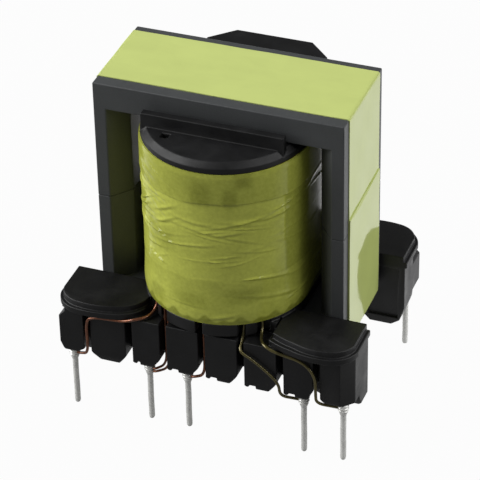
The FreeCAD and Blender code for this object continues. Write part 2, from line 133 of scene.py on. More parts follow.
class Shader:
    """A node material round one Principled shader, with short calls for what it is made of."""

    def __init__(self, name, **sockets):
        self.material = bpy.data.materials.new(name)
        self.material.use_nodes = True
        self.tree = self.material.node_tree
        self.bsdf = self.tree.nodes["Principled BSDF"]
        for socket, value in sockets.items():
            self.bsdf.inputs[socket.replace("_", " ")].default_value = value
        self.place = self.node("ShaderNodeTexCoord").outputs["Object"]

    def node(self, kind, **settings):
        """Adds a node of this kind with these settings."""
        made = self.tree.nodes.new(kind)
        for key, value in settings.items():
            setattr(made, key, value)
        return made

    def link(self, source, target):
        """Joins a socket to the target, or sets the target where the source is a plain value."""
        if isinstance(source, bpy.types.NodeSocket):
            self.tree.links.new(source, target)
        else:
            target.default_value = source

    def stretched(self, x, y, z):
        """Object coordinates, in millimetres times x, y and z."""
        mapping = self.node("ShaderNodeMapping")
        self.link(self.place, mapping.inputs["Vector"])
        mapping.inputs["Scale"].default_value = (x / MM, y / MM, z / MM)
        return mapping.outputs["Vector"]

    def noise(self, size, detail, at=None, warp=0.0):
        """Noise whose features are about size millimetres across.

        It is taken at the object's coordinates, or at others that are in millimetres already."""
        made = self.node("ShaderNodeTexNoise")
        self.link(at or self.place, made.inputs["Vector"])
        made.inputs["Scale"].default_value = 1 / size if at else 1 / (size * MM)
        made.inputs["Detail"].default_value = detail
        made.inputs["Roughness"].default_value = NOISE_ROUGHNESS
        made.inputs["Distortion"].default_value = warp
        return made.outputs["Fac"]

    def attribute(self, name):
        """Value that the mesh holds at each point under this name."""
        return self.node("ShaderNodeAttribute", attribute_name=name).outputs["Fac"]

    def ranged(self, value, low, high, to_low=0.0, to_high=1.0):
        """Value from low to high, carried to to_low and to_high and held there."""
        made = self.node("ShaderNodeMapRange")
        self.link(value, made.inputs["Value"])
        for socket, number in zip(("From Min", "From Max", "To Min", "To Max"),
                                  (low, high, to_low, to_high)):
            made.inputs[socket].default_value = number
        return made.outputs["Result"]

    def maths(self, operation, a, b):
        """Result of a maths node on a and b."""
        made = self.node("ShaderNodeMath", operation=operation)
        self.link(a, made.inputs[0])
        self.link(b, made.inputs[1])
        return made.outputs[0]

    def mixed(self, factor, a, b):
        """Colour a where factor is 0 and b where it is 1."""
        made = self.node("ShaderNodeMix", data_type="RGBA")
        self.link(factor, made.inputs["Factor"])
        for source, target in ((a, made.inputs[MIX_A]), (b, made.inputs[MIX_B])):
            plain = not isinstance(source, bpy.types.NodeSocket)
            self.link((*source, 1.0) if plain else source, target)
        return made.outputs[MIX_RESULT]

    def bump(self, height, depth, strength=1.0, under=None):
        """Bump of a height field that stands depth millimetres between 0 and 1."""
        made = self.node("ShaderNodeBump")
        made.inputs["Strength"].default_value = strength
        made.inputs["Distance"].default_value = depth * MM
        self.link(height, made.inputs["Height"])
        if under:
            self.link(under, made.inputs["Normal"])
        return made.outputs["Normal"]

    def finish(self, base, roughness, normal):
        """Joins these three to the shader, and returns the material."""
        self.link(base, self.bsdf.inputs["Base Color"])
        self.link(roughness, self.bsdf.inputs["Roughness"])
        self.link(normal, self.bsdf.inputs["Normal"])
        return self.material


def shade(base, factor):
    """Base colour made darker or lighter by a factor."""
    return tuple(min(1.0, c * factor) for c in base)


# Finishes

# How often a film's streaks change along x, y and z, in times per millimetre
STREAKS_ROUND_CORE = (0.12, 0.5, 0.12)
STREAKS_ROUND_WINDING = (0.12, 0.12, 0.4)
# Spacing of the turns in a wound layer, and of a wave texture's bands at a scale of 1
TURN_PITCH = 0.6314
WAVE_BAND = math.pi / 10


def ferrite_finish(tint):
    """Sintered and ground ferrite: dark grey, finely speckled, with a soft ground sheen."""
    s = Shader("ground_ferrite", Specular_IOR_Level=0.5)
    grain = s.noise(0.12, 4)
    cloud = s.noise(3.0, 2)
    base = s.mixed(s.ranged(grain, 0.3, 0.7), shade(tint, 0.82), shade(tint, 1.22))
    base = s.mixed(s.ranged(cloud, 0.35, 0.65, 0, 0.35), base, shade(tint, 1.25))
    rough = s.ranged(grain, 0.25, 0.75, 0.42, 0.6)
    return s.finish(base, rough, s.bump(grain, 0.012, 0.7))


def moulding_finish(tint):
    """Black moulding compound: faint flow marks, a fine skin and a semi-gloss."""
    s = Shader("black_moulding", Specular_IOR_Level=0.42)
    grain = s.noise(0.18, 4)
    flow = s.noise(2.2, 3, warp=0.6)
    base = s.mixed(s.ranged(flow, 0.3, 0.7), shade(tint, 0.75), shade(tint, 1.3))
    rough = s.ranged(flow, 0.3, 0.7, 0.43, 0.58)
    fine = s.bump(grain, 0.01, 0.6)
    return s.finish(base, rough, s.bump(flow, 0.03, 0.5, fine))


def film_finish(name, tint, wetted, streaks, deep, crease, gloss, haze):
    """Tape film over adhesive: a clear gloss over a streaked, faintly cloudy colour.

    Its clouds are deeper by the factor deep. Where the mesh's own wetted value rises, the colour
    goes over to wetted. The streaks also stand up as creases of that height, in millimetres."""
    s = Shader(name, Specular_IOR_Level=0.0, Coat_Weight=gloss, Coat_Roughness=haze)
    cloud = s.noise(2.6, 3, warp=0.4)
    fine = s.noise(0.35, 3)
    along = s.noise(1.0, 2, at=s.stretched(*streaks))
    base = s.mixed(s.ranged(cloud, 0.42, 0.6, 0, 0.8), tint, shade(tint, deep))
    base = s.mixed(s.ranged(along, 0.35, 0.7, 0, 0.3), base, shade(tint, 1.12))
    edge = s.maths("ADD", s.attribute("wetted"), s.ranged(fine, 0.3, 0.7, -0.1, 0.1))
    base = s.mixed(edge, base, wetted)
    rough = s.ranged(cloud, 0.3, 0.7, 0.3, 0.45)
    return s.finish(base, rough, s.bump(along, crease, 0.6))


def wire_finish(name, tint):
    """Enamelled wire: metal under a clear coloured coat, a little uneven."""
    s = Shader(name, Metallic=0.75, Coat_Weight=0.6, Coat_Roughness=0.1)
    patch = s.noise(0.8, 3)
    base = s.mixed(s.ranged(patch, 0.3, 0.7), shade(tint, 0.7), shade(tint, 1.2))
    return s.finish(base, s.ranged(patch, 0.3, 0.7, 0.24, 0.38), s.bump(patch, 0.01, 0.4))


def winding_finish(tint):
    """Layer of round turns, which shows as ribs one turn apart, with painted shade between the
    turns.
    """
    s = Shader("copper_turns", Metallic=0.8)
    wave = s.node("ShaderNodeTexWave", wave_type="BANDS", bands_direction="Z")
    s.link(s.place, wave.inputs["Vector"])
    wave.inputs["Scale"].default_value = WAVE_BAND / (TURN_PITCH * MM)
    ribs = wave.outputs["Fac"]
    patch = s.noise(0.9, 3)
    # The colour darkens between the turns as painted shade
    base = s.mixed(ribs, shade(tint, 0.45), tint)
    return s.finish(base, s.ranged(patch, 0.3, 0.7, 0.26, 0.42), s.bump(ribs, 0.12))


def tin_finish(name, tint, bright, dull, patch_size):
    """Tin plate or solder: metal with fine waves, whose roughness changes between patches."""
    s = Shader(name, Metallic=0.2)
    patch = s.noise(patch_size, 4, warp=0.5)
    fine = s.noise(patch_size * 0.2, 3)
    base = s.mixed(s.ranged(patch, 0.3, 0.7), shade(tint, 0.84), tint)
    rough = s.ranged(patch, 0.3, 0.7, bright, dull)
    return s.finish(base, rough, s.bump(patch, 0.015, 0.5, s.bump(fine, 0.004, 0.3)))


made_finishes = {}


def finishes():
    """Every finish by name, made once from the colours in the panel."""
    if not made_finishes:
        c = bpy.context.scene.transformer_colours
        made_finishes.update(
            ferrite=ferrite_finish(c.ferrite),
            bobbin=moulding_finish(c.moulding),
            core_tape=film_finish("core_film", c.band, c.band, STREAKS_ROUND_CORE,
                                  deep=0.97, crease=0.02, gloss=0.8, haze=0.06),
            cover_tape=film_finish("cover_film", c.cover, c.stuck, STREAKS_ROUND_WINDING,
                                   deep=0.86, crease=0.03, gloss=0.65, haze=0.15),
            inner_tape=film_finish("inner_film", c.cover, c.stuck, STREAKS_ROUND_WINDING,
                                   deep=0.8, crease=0.03, gloss=0.65, haze=0.15),
            copper=winding_finish(c.copper),
            copper_wire=wire_finish("copper_enamel", c.copper),
            pale_wire=wire_finish("straw_enamel", c.straw),
            pin=tin_finish("tinned_pin", c.tin, bright=0.2, dull=0.36, patch_size=0.9),
            solder=tin_finish("solder_fillet", c.tin, bright=0.16, dull=0.34, patch_size=0.5),
        )
    return made_finishes


# Mesh helpers

# Faces that meet at less than this are shaded as one smooth surface
SMOOTH_ANGLE = math.radians(40)
# Points closer than this are one point, and faces flatter than this are one face
SAME_POINT = 0.001
SAME_FACE = math.radians(1)
# Directions that a tube may be set out from: how many, and the turn from each to the next
DIRECTIONS, DIRECTION_TURN = 60, 2.39996
HOSE_SIDES = 14


def settle(name, mesh, slot, *stands_for):
    """Adds a finished mesh to the scene as a piece that stands for CAD nodes."""
    piece = bpy.data.objects.new(name, mesh)
    bpy.context.scene.collection.objects.link(piece)
    mesh.materials.clear()
    mesh.materials.append(finishes()[slot])
    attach(piece, "root")
    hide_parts(*stands_for)
    return piece


def skin(name, points, close_u=False, close_v=False, caps=False, ends=False, wetted=None):
    """Mesh of quads over a grid of points[u, v], in millimetres, turned to face outwards.

    close_u and close_v join the last row or column to the first. Caps closes both ends of v
    with a flat face, and ends does that for u. The mesh holds wetted[u, v] for its finish."""
    nu, nv = points.shape[:2]
    index = np.arange(nu * nv).reshape(nu, nv)
    grid = np.vstack([index, index[:1]]) if close_u else index
    grid = np.hstack([grid, grid[:, :1]]) if close_v else grid
    quads = np.stack([grid[:-1, :-1], grid[1:, :-1], grid[1:, 1:], grid[:-1, 1:]], -1)
    faces = quads.reshape(-1, 4).tolist()
    if caps:
        faces += [index[::-1, 0].tolist(), index[:, -1].tolist()]
    if ends:
        faces += [index[0].tolist(), index[-1, ::-1].tolist()]
    mesh = bpy.data.meshes.new(name)
    mesh.from_pydata((points.reshape(-1, 3) * MM).tolist(), [], faces)
    if wetted is not None:
        layer = mesh.attributes.new("wetted", "FLOAT", "POINT")
        layer.data.foreach_set("value", wetted.reshape(-1).astype(np.float32))
    work = bmesh.new()
    work.from_mesh(mesh)
    bmesh.ops.recalc_face_normals(work, faces=work.faces)
    work.to_mesh(mesh)
    work.free()
    mesh.polygons.foreach_set("use_smooth", np.ones(len(mesh.polygons), bool))
    mesh.set_sharp_from_angle(angle=SMOOTH_ANGLE)
    return mesh


def turned(x, y, heights, radii):
    """Grid of a turned shape about an upright line: radii[u, v] at heights[v], u going round."""
    around = np.linspace(0, 2 * np.pi, radii.shape[0], endpoint=False)[:, None]
    rise = np.broadcast_to(heights, radii.shape)
    return np.stack([x + radii * np.cos(around), y + radii * np.sin(around), rise], -1)


def route_line(points):
    """Points along the smooth NURBS line that a route gives, in millimetres."""
    curve = bpy.data.curves.new("route", "CURVE")
    curve.dimensions = "3D"
    curve.resolution_u = 8
    spline = curve.splines.new("NURBS")
    spline.points.add(len(points) - 1)
    flat = np.hstack([np.array(points, float), np.ones((len(points), 1))])
    spline.points.foreach_set("co", flat.ravel())
    spline.order_u = 3
    spline.use_endpoint_u = True
    holder = bpy.data.objects.new("route", curve)
    bpy.context.scene.collection.objects.link(holder)
    mesh = bpy.data.meshes.new_from_object(holder)
    line = np.zeros(len(mesh.vertices) * 3)
    mesh.vertices.foreach_get("co", line)
    bpy.data.objects.remove(holder)
    bpy.data.curves.remove(curve)
    bpy.data.meshes.remove(mesh)
    return line.reshape(-1, 3)


def hose(line, radius):
    """Grid of a round tube: at each point of a line, a circle square to its direction.

    The circles are set out from one fixed direction, the one least in line with any part of it."""
    ahead = np.gradient(line, axis=0)
    ahead /= np.linalg.norm(ahead, axis=1, keepdims=True)
    turn = np.arange(DIRECTIONS) * DIRECTION_TURN
    level = np.linspace(-1, 1, DIRECTIONS)
    ring = np.sqrt(1 - level ** 2)
    tries = np.stack([ring * np.cos(turn), ring * np.sin(turn), level], -1)
    best = tries[np.abs(tries @ ahead.T).max(1).argmin()]
    side = np.cross(ahead, best)
    side /= np.linalg.norm(side, axis=1, keepdims=True)
    up = np.cross(side, ahead)
    around = np.linspace(0, 2 * np.pi, HOSE_SIDES, endpoint=False)[:, None, None]
    return line[None] + radius * (np.cos(around) * side[None] + np.sin(around) * up[None])


def edged_copy(node, name, slot, width, angle):
    """Copy of a CAD node with its faces joined up, and its edges sharper than angle rounded."""
    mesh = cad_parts[node].data.copy()
    mesh.name = name
    work = bmesh.new()
    work.from_mesh(mesh)
    bmesh.ops.remove_doubles(work, verts=work.verts, dist=SAME_POINT * MM)
    bmesh.ops.dissolve_limit(work, angle_limit=SAME_FACE, verts=work.verts, edges=work.edges)
    work.to_mesh(mesh)
    work.free()
    mesh.polygons.foreach_set("use_smooth", np.ones(len(mesh.polygons), bool))
    mesh.set_sharp_from_angle(angle=angle)
    piece = settle(name, mesh, slot, node)
    bevel = piece.modifiers.new("Edges", "BEVEL")
    bevel.width = width
    bevel.segments = 2
    bevel.limit_method = "ANGLE"
    bevel.angle_limit = angle
    bevel.use_clamp_overlap = False
    bevel.harden_normals = True
    return piece


def smooth_step(value, low, high):
    """0 below low and 1 above high, with a smooth rise between them."""
    t = np.clip((value - low) / (high - low), 0, 1)
    return t * t * (3 - 2 * t)


def past_line(value, line, soft):
    """0 before a line and 1 past it, with an edge that is soft to both sides."""
    return smooth_step(value, line - soft, line + soft)


def bell(value, width):
    """1 where the value is 0, falling off on both sides over this width."""
    return np.exp(-(value / width) ** 2)


def through(value, stops):
    """Value carried through (value, result) stops, with straight runs between them."""
    at, result = zip(*stops)
    return np.interp(value, at, result)


def oblong(s, r, reach):
    """Point and outward direction at length s round two half circles joined by straight sides."""
    straight, half = 2 * reach, np.pi * r
    up = np.clip(s, 0, straight)
    first = np.clip(s - straight, 0, half)
    down = np.clip(s - straight - half, 0, straight)
    second = np.clip(s - 2 * straight - half, 0, half)
    turn = (first + second) / r
    out = np.stack([np.cos(turn), np.sin(turn)], -1)
    centre = np.stack([np.zeros_like(turn), up - down - reach], -1)
    return centre + r * out, out


def frame_runs(half_w, half_h, r):
    """Lengths of the sides and corners of a rectangle with round corners, right side first."""
    return (2 * (half_h - r), r * np.pi / 2, 2 * (half_w - r), r * np.pi / 2) * 2


def round_frame(s, half_w, half_h, r):
    """Point and outward direction at length s round a rectangle with round corners.

    It starts at the foot of the right side and goes up, over the top and back underneath."""
    w, h = half_w - r, half_h - r
    runs, at = [], 0.0
    for run in frame_runs(half_w, half_h, r):
        runs.append(np.clip(s - at, 0, run))
        at += run
    turn = sum(runs[1::2]) / r
    out = np.stack([np.cos(turn), np.sin(turn)], -1)
    centre = np.stack([w - runs[2] + runs[6], runs[0] - h - runs[4]], -1)
    return centre + r * out, out


# Pieces

class PieceOperator:
    """Shared settings of the operators, which each build one group of pieces."""

    bl_options = {"REGISTER", "UNDO"}


# Core and bobbin, whose edges are rounded where they are sharper than this

CORE_EDGE_ANGLE = math.radians(35)
BOBBIN_EDGE_ANGLE = math.radians(28)


class TRANSFORMER_OT_core(PieceOperator, bpy.types.Operator):
    """Ferrite halves with ground edges"""

    bl_idname = "transformer.core"
    bl_label = "Core halves"

    def execute(self, context):
        width = context.scene.transformer_sizes.core_edge
        for half in ("lower", "upper"):
            edged_copy("core_" + half, "ferrite_" + half, "ferrite", width, CORE_EDGE_ANGLE)
        return {"FINISHED"}


class TRANSFORMER_OT_bobbin(PieceOperator, bpy.types.Operator):
    """Black bobbin with moulded edges"""

    bl_idname = "transformer.bobbin"
    bl_label = "Bobbin"

    def execute(self, context):
        width = context.scene.transformer_sizes.moulding_edge
        edged_copy("bobbin", "bobbin_moulding", "bobbin", width, BOBBIN_EDGE_ANGLE)
        return {"FINISHED"}


# Core tape: its film's thickness, and the half width, half height, middle height and corner
# radius of the rectangle that it is wrapped round

FILM = BAND_HI[2] - CORE_HI[2]
WRAP_W = CORE_HI[0]
WRAP_H = (CORE_HI[2] - CORE_LO[2]) / 2
WRAP_MIDDLE = (CORE_HI[2] + CORE_LO[2]) / 2
WRAP_CORNER = 0.15
# Lengths round that rectangle at which its sides and corners begin, and its whole length round
WRAP_STOPS = np.concatenate([[0], np.cumsum(frame_runs(WRAP_W, WRAP_H, WRAP_CORNER))])
WRAP_ROUND = WRAP_STOPS[-1]
# Its mesh: length between rows, the fewest rows on a side or corner, and the columns across
WRAP_STEP, WRAP_LEAST_ROWS, WRAP_COLUMNS = 0.2, 4, 61
# How far the tape's edges sway to either side
EDGE_SWAY = 0.03
# Second layer: its length under the core, its mesh rows from there to the end, and the torn end
# as (y, height over the core's foot)
LAYER_UNDER, LAYER_ROWS = 8.0, 90
TORN_END = ((-4.5, 14.15), (-4.04, 14.11), (-3.43, 13.91), (-1.21, 13.85),
            (0.74, 14.09), (3.97, 14.45), (4.5, 14.5))


def wrap_lengths():
    """Lengths round the core of the mesh's rows, in even steps on each side and corner."""
    counts = [max(WRAP_LEAST_ROWS, round(run / WRAP_STEP)) for run in np.diff(WRAP_STOPS)]
    return np.concatenate([np.linspace(a, b, 1 + count)[:-1]
                           for a, b, count in zip(WRAP_STOPS, WRAP_STOPS[1:], counts)])


def tape_section():
    """Across the core tape, from edge to edge: y, and its face's distance from what it lies on."""
    face = np.linspace(BAND_LO[1], BAND_HI[1], WRAP_COLUMNS)
    return np.pad(face, 1, mode="edge"), np.pad(np.full(WRAP_COLUMNS, FILM), 1)


def layer_lengths(around, y):
    """Lengths round the core of the second layer: from under it, up its right side to the tear."""
    under = around[around > WRAP_ROUND - LAYER_UNDER] - WRAP_ROUND
    up = np.linspace(0, 1, LAYER_ROWS)[:, None] * (through(y, TORN_END) - WRAP_CORNER)
    return np.vstack([np.tile(under[:, None], len(y)), up])


def tape_surface(s, y, thick, lift, ripple):
    """Core tape, by length s round the core and y across it.

    A point stands out from the core's rounded rectangle by lift and thickness, less an unevenness,
    ripple times 1 minus the product of two slow sines. The edges sway inwards as a sine of s."""
    s = np.broadcast_to(s, (len(s), len(y)))
    flat, out = round_frame(s % WRAP_ROUND, WRAP_W, WRAP_H, WRAP_CORNER)
    uneven = np.sin(s * 0.9 + y * 0.35) * np.sin(y * 1.1 + s * 0.23) - 1
    stand = lift + thick + ripple * uneven * (thick > 0)
    spot = flat + out * stand[..., None]
    across = y + EDGE_SWAY * (np.sin(s * 0.21 + 1.0) - 1) * np.sign(y)
    return np.stack([spot[..., 0], across, spot[..., 1] + WRAP_MIDDLE], -1)


class TRANSFORMER_OT_core_tape(PieceOperator, bpy.types.Operator):
    """Tape band round the core, and its second layer that ends on the right side"""

    bl_idname = "transformer.core_tape"
    bl_label = "Core tape"

    def execute(self, context):
        ripple = context.scene.transformer_sizes.ripple / MM
        around = wrap_lengths()
        y, thick = tape_section()
        points = tape_surface(around[:, None], y, thick, 0.0, ripple)
        wrap = skin("core_tape_wrap", points, close_u=True, close_v=True)
        settle("core_tape_wrap", wrap, "core_tape", "core_tape_band")
        points = tape_surface(layer_lengths(around, y), y, thick, FILM, ripple)
        layer = skin("core_tape_end", points, close_v=True, ends=True)
        settle("core_tape_end", layer, "core_tape", "core_tape_band")
        return {"FINISHED"}


# Cover tape: its outer oblong as radius, half length of the straight sides and length round

WINDING_R = COVER_HI[0]
WINDING_REACH = COVER_HI[1] - WINDING_R
WINDING_ROUND = 4 * WINDING_REACH + 2 * np.pi * WINDING_R
# Its height, its thickness, and its mesh's points round and up it
COVER_TALL = COVER_HI[2] - COVER_LO[2]
COVER_WALL = 0.2
COVER_COLUMNS, COVER_ROWS = 500, 170
# Height over its foot, and how far its side stands out there, in shares of the barrel
COVER_SWELL = ((0, -0.4), (1.2, -0.2), (3.6, -1.3), (6, -0.7), (9, 0), (13, 0.2), (COVER_TALL, 0))
# Turns of film end in two nearly level lines, with one layer less between them. Each line wavers
# by sines, given as (height, waves in a turn, shift), and the upper one by a share of that
LOW_LAP, HIGH_LAP, LAP_SOFT = 5.05, 13.6, 0.06
LAP_WAVES = ((0.16, 3, 0.4), (0.07, 11, 0.0))
HIGH_LAP_SHARE = 0.8
# Between them the outermost turn stops at an upright cut: bearings, in degrees to the right, of
# its two edges and of where that turn starts again
CUT_FROM, CUT_TO, CUT_LAST = 60.2, 61.8, 150
# Depth of both steps in wrinkles, and the furthest that the film may lie in
LAP_DEPTH, CUT_DEPTH, DEEPEST = 0.9, 0.5, 0.14
# Folds: how many, the seed that places them, and the heights between which three in four lie
FOLDS, FOLD_SEED = 120, 11
FOLD_LOW, FOLD_HIGH = 5.2, 13.4
# Ranges of their half width and of their height in wrinkles, and how far they lean and bend
FOLD_WIDTHS, FOLD_HEIGHTS = (0.07, 0.22), (0.3, 1.0)
FOLD_LEAN, FOLD_BEND = 0.4, 0.05
# Depth of the valley under a ridge, in shares of it, and its distance in half widths
VALLEY_DEPTH, VALLEY_OFF = 0.7, 1.6
# Closer, steeper creases, one fold in five, where the film turns the corner at the left: their
# middle round the winding, how far they spread from it, their reach, added height and lean
CREASE_AT = WINDING_ROUND - WINDING_R * math.radians(127)
CREASE_SPREAD, CREASE_REACH = 2.2, (0.8, 1.8)
CREASE_HIGHER, CREASE_LEAN = 1.4, 1.3
# The film's cut edges pull in by this much, over this share of the height
EDGE_PULL, EDGE_SHARE = 0.06, 0.03
# How wetted the film is, and how much more above and below the laps, past the cut, in a patch
# and at the foot, whose scalloped edge swings about its middle height
WETTED, WETTED_ABOVE, WETTED_BELOW, WETTED_CUT = 0.3, 0.25, 0.1, 0.3
WETTED_PATCH, WETTED_FOOT = 0.3, 0.5
SCALLOP_MIDDLE, SCALLOP_SWING, SCALLOP_SOFT = 0.55, 0.45, 0.15
# Wetted patches: bearing, height, half width in degrees and half height
WETTED_PATCHES = ((3, 14.7, 7, 1.4), (22, 14.3, 5, 1.2), (31, 16.3, 6, 0.8), (-30, 8.5, 14, 1.5),
                  (-48, 10.5, 9, 1.1), (30, 3.2, 14, 0.9), (-5, 2.4, 12, 0.8), (-36, 1.6, 8, 0.8))


def between_laps(bearing, h):
    """1 between the two laps of the cover tape and 0 past them.

    Each lap's line wavers as a sum of two sines of the bearing."""
    angle = np.radians(bearing)
    wave = sum(high * np.sin(angle * count + shift) for high, count, shift in LAP_WAVES)
    return (past_line(h, LOW_LAP + wave, LAP_SOFT)
            * past_line(-h, -(HIGH_LAP + HIGH_LAP_SHARE * wave), LAP_SOFT))


def cover_folds(s, h, wrinkle):
    """Height of the folds at length s round the winding and height h.

    Each fold is a bell-shaped ridge with a shallower valley under it. Its line is a parabola of
    the distance along it, and it fades at both ends as a bell of that distance. Places and sizes
    are drawn from one fixed seed."""
    dice = np.random.RandomState(FOLD_SEED)
    height = 0
    for k in range(FOLDS):
        at = dice.uniform(FOLD_LOW, FOLD_HIGH) if k % 4 else dice.uniform(0, COVER_TALL)
        middle = dice.uniform(0, WINDING_ROUND)
        reach = 1.0 + 3.2 * dice.rand() ** 1.5
        width = dice.uniform(*FOLD_WIDTHS)
        high = dice.uniform(*FOLD_HEIGHTS)
        lean = FOLD_LEAN
        if k % 5 == 1:
            middle = CREASE_AT + dice.uniform(-CREASE_SPREAD, CREASE_SPREAD)
            reach = dice.uniform(*CREASE_REACH)
            high *= CREASE_HIGHER
            lean = CREASE_LEAN
        lean *= dice.uniform(-0.5, 0.5)
        bend = FOLD_BEND * dice.uniform(-0.5, 0.5)
        off = (s - middle + WINDING_ROUND / 2) % WINDING_ROUND - WINDING_ROUND / 2
        over = h - (at + lean * off + bend * off ** 2)
        fold = bell(over, width) - VALLEY_DEPTH * bell(over + VALLEY_OFF * width, width)
        height = height + wrinkle * high * bell(off, reach) * fold
    return height


def cover_wetting(bearing, h, thin):
    """How far the adhesive has wetted the layer under the film, from 0 to 1.

    It is more above and below the laps, past the cut, in flat-topped patches that fall off by the
    fourth power of the distance, and below a scalloped edge, which is a product of two sines."""
    wetted = (WETTED + WETTED_ABOVE * past_line(h, HIGH_LAP, 0.3)
              + WETTED_BELOW * past_line(-h, -LOW_LAP, 0.25) + WETTED_CUT * thin)
    for at_bearing, at_height, wide, high in WETTED_PATCHES:
        far = ((bearing - at_bearing) / wide) ** 4 + ((h - at_height) / high) ** 4
        wetted = wetted + WETTED_PATCH * np.exp(-far)
    angle = np.radians(bearing)
    scallop = SCALLOP_MIDDLE + SCALLOP_SWING * np.sin(angle * 23) * np.sin(angle * 7 + 1)
    return np.clip(wetted + WETTED_FOOT * past_line(-h, -scallop, SCALLOP_SOFT), 0, 1)


def cover_surface(wrinkle, barrel):
    """Cover tape by length s round the winding and height h, and how wetted each point is.

    A point stands out from the winding's oblong by a swell of h, less a step between the laps and
    one past the cut, plus the folds, and less a rounding at the film's cut edges."""
    s = np.linspace(0, WINDING_ROUND, COVER_COLUMNS, endpoint=False)[:, None]
    z = np.linspace(COVER_LO[2], COVER_HI[2], COVER_ROWS)[None]
    h = z - COVER_LO[2]
    flat, out = oblong(s + 0 * z, WINDING_R, WINDING_REACH)
    # Degrees round from straight ahead, positive to the right
    bearing = np.degrees(np.arctan2(out[..., 0], -out[..., 1]))
    between = between_laps(bearing, h)
    thin = smooth_step(bearing, CUT_FROM, CUT_TO) * (bearing < CUT_LAST) * between
    stand = barrel * through(h, COVER_SWELL) - wrinkle * (LAP_DEPTH * between + CUT_DEPTH * thin)
    stand = np.maximum(stand + cover_folds(s, h, wrinkle), -DEEPEST)
    t = h / COVER_TALL
    edges = smooth_step(-t, -EDGE_SHARE, 0) + smooth_step(t, 1 - EDGE_SHARE, 1)
    spot = flat + out * (stand - EDGE_PULL * edges)[..., None]
    shell = np.stack([spot[..., 0], spot[..., 1], z + 0 * s], -1)
    # The wall turns in at the foot and the top, and is closed on its inside
    inner_round = WINDING_ROUND - 2 * np.pi * COVER_WALL
    inner, _ = oblong(s / WINDING_ROUND * inner_round, WINDING_R - COVER_WALL, WINDING_REACH)
    foot, top = [np.dstack([inner[..., 0], inner[..., 1], np.full_like(s, level)])
                 for level in (COVER_LO[2], COVER_HI[2])]
    wetted = np.pad(cover_wetting(bearing, h, thin), ((0, 0), (1, 1)))
    return np.concatenate([foot, shell, top], axis=1), wetted


class TRANSFORMER_OT_cover_tape(PieceOperator, bpy.types.Operator):
    """Wrinkled cover tape round the winding"""

    bl_idname = "transformer.cover_tape"
    bl_label = "Cover tape"

    def execute(self, context):
        sizes = context.scene.transformer_sizes
        points, wetted = cover_surface(sizes.wrinkle / MM, sizes.barrel / MM)
        mesh = skin("cover_tape", points, close_u=True, close_v=True, wetted=wetted)
        settle("cover_tape", mesh, "cover_tape", "tape_cover")
        return {"FINISHED"}


# Pins and solder joints

# Radius of a pin's tip, in shares of the pin's own, and depth of its unevenness
PIN_TIP, PIN_UNEVEN = 0.45, 0.008
# Points round a pin and a joint, rings on a pin's point and above it, and rings on a joint
PIN_SIDES, JOINT_SIDES = 20, 40
TIP_RINGS, SHANK_RINGS, JOINT_RINGS = 9, 30, 44
# Share of a joint's height from its top, and its radius there, from 0 at the pin's to 1 in full
JOINT_SWELL = ((0, 0.84), (0.12, 0.97), (0.35, 0.95), (0.6, 0.72), (0.8, 0.47), (1, 0))
# Share of a joint's height that the turns of wire take up. They rise to their full height by the
# second share, and sink from the third to the fourth
JOINT_WOUND, TURNS_FULL, TURNS_SINK, TURNS_GONE = 0.72, 0.1, 0.6, 0.75


def pin_line(row, place):
    """Middle x and y of a pin, and its radius."""
    lo, hi = span("pin_%s_%d" % (row, place))
    return (lo[0] + hi[0]) / 2, (lo[1] + hi[1]) / 2, (hi[0] - lo[0]) / 2


def pin_surface(row, place, point):
    """Pin by angle and height, from its tip at height 0 into its solder joint.

    Over the length point its radius grows as a quarter of an ellipse. It is less by a faint
    unevenness, 1 plus a sine of height and angle."""
    x, y, r = pin_line(row, place)
    top = span("joint_%s_%d" % (row, place))[1][2]
    tip = point * np.linspace(0, 1, TIP_RINGS) ** 2
    z = np.concatenate([tip, np.linspace(point * 1.2, top, SHANK_RINGS)])
    nose = np.sqrt(np.clip(1 - (1 - z / point) ** 2, 0, 1))
    radius = r * np.where(z < point, PIN_TIP + (1 - PIN_TIP) * nose, 1.0)
    around = np.linspace(0, 2 * np.pi, PIN_SIDES, endpoint=False)[:, None]
    return turned(x, y, z, radius - PIN_UNEVEN * (1 + np.sin(z * 1.7 + place + around)))


def joint_surface(row, place, ridge, turns):
    """Solder joint by angle and share t of its height, from the boss down to the pin.

    Its radius follows the swell, plus a ridge that is a cosine of height and angle, so that it
    winds round the joint as the wire does, and fades at both ends."""
    x, y, pin_r = pin_line(row, place)
    lo, hi = span("joint_%s_%d" % (row, place))
    full = (hi[0] - lo[0]) / 2 - ridge
    t = np.linspace(0, 1, JOINT_RINGS)
    body = pin_r + (full - pin_r) * through(t, JOINT_SWELL)
    around = np.linspace(0, 2 * np.pi, JOINT_SIDES, endpoint=False)[:, None]
    wound = np.cos(2 * np.pi * turns * t / JOINT_WOUND - around + place)
    fade = smooth_step(t, 0, TURNS_FULL) * smooth_step(-t, -TURNS_GONE, -TURNS_SINK)
    return turned(x, y, hi[2] - t * (hi[2] - lo[2]), body + ridge * wound * fade)


class TRANSFORMER_OT_pins(PieceOperator, bpy.types.Operator):
    """Tinned round pins with blunt rounded points"""

    bl_idname = "transformer.pins"
    bl_label = "Pins"

    def execute(self, context):
        point = context.scene.transformer_sizes.pin_point / MM
        for row in ROWS:
            for place in PLACES:
                node = "pin_%s_%d" % (row, place)
                mesh = skin(node, pin_surface(row, place, point), close_u=True, caps=True)
                settle("tinned_" + node, mesh, "pin", node)
        return {"FINISHED"}


